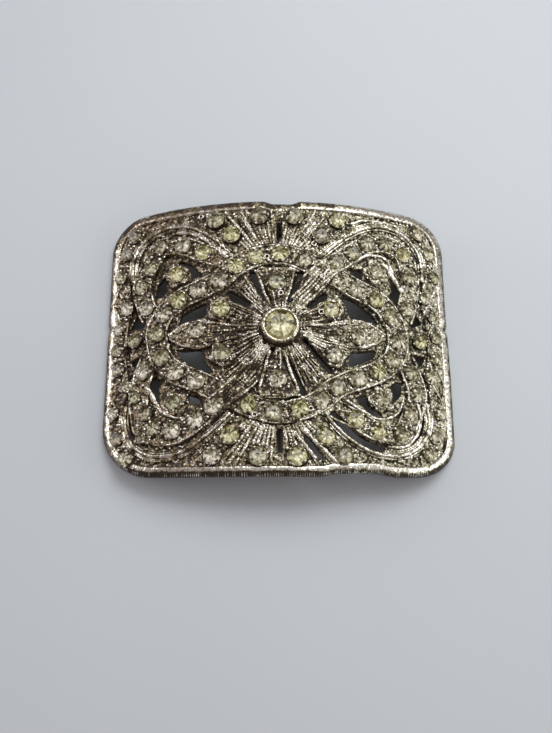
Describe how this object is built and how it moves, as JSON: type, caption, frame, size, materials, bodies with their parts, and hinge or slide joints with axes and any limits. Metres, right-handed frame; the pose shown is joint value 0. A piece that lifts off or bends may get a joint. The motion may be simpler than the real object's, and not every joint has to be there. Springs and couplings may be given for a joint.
{
  "type": "sash buckle",
  "caption": "Curved rectangular sash buckle: a pierced cast plate with an eye-shaped band, corner loops and a central rosette, set with brilliants, and a plain bar behind it.",
  "frame": {"origin": "centre of the plate, on the surface that its two side rims rest on", "axes": "+X along the belt, +Y up when worn, +Z out from the waist"},
  "size_m": [0.0752, 0.0612, 0.0169],
  "materials": {
    "pot_metal": "aged, tarnished cast metal",
    "bar_steel": "dull",
    "crystal": "cut glass with a foiled back"
  },
  "bodies": {
    "root": {"buckle_casting": "pot_metal", "sash_bar": "bar_steel", "centre_stone": "crystal", "ring_stone_1": "crystal", "ring_stone_2": "crystal", "ring_stone_3": "crystal", "ring_stone_4": "crystal", "ring_stone_5": "crystal", "ring_stone_6": "crystal", "ring_stone_7": "crystal", "ring_stone_8": "crystal", "ring_stone_9": "crystal", "ring_stone_10": "crystal", "ring_stone_11": "crystal", "ring_stone_12": "crystal", "ring_stone_13": "crystal", "ring_stone_14": "crystal", "ring_stone_15": "crystal", "ring_stone_16": "crystal", "ring_stone_17": "crystal", "ring_stone_18": "crystal", "ring_stone_19": "crystal", "ring_stone_20": "crystal", "ring_stone_21": "crystal", "ring_stone_22": "crystal", "ring_stone_23": "crystal", "ring_stone_24": "crystal", "petal_stone_1": "crystal", "petal_stone_2": "crystal", "petal_stone_3": "crystal", "petal_stone_4": "crystal", "petal_stone_5": "crystal", "petal_stone_6": "crystal", "petal_stone_7": "crystal", "petal_stone_8": "crystal", "leaf_stone_1": "crystal", "leaf_stone_2": "crystal", "leaf_stone_3": "crystal", "leaf_stone_4": "crystal", "side_stone_1": "crystal", "side_stone_2": "crystal", "loop_stones_upper_left": "crystal", "loop_stones_upper_right": "crystal", "loop_stones_lower_left": "crystal", "loop_stones_lower_right": "crystal", "fan_stones_top": "crystal", "fan_stones_bottom": "crystal", "column_stones_left": "crystal", "column_stones_right": "crystal"}
  },
  "joints": []
}
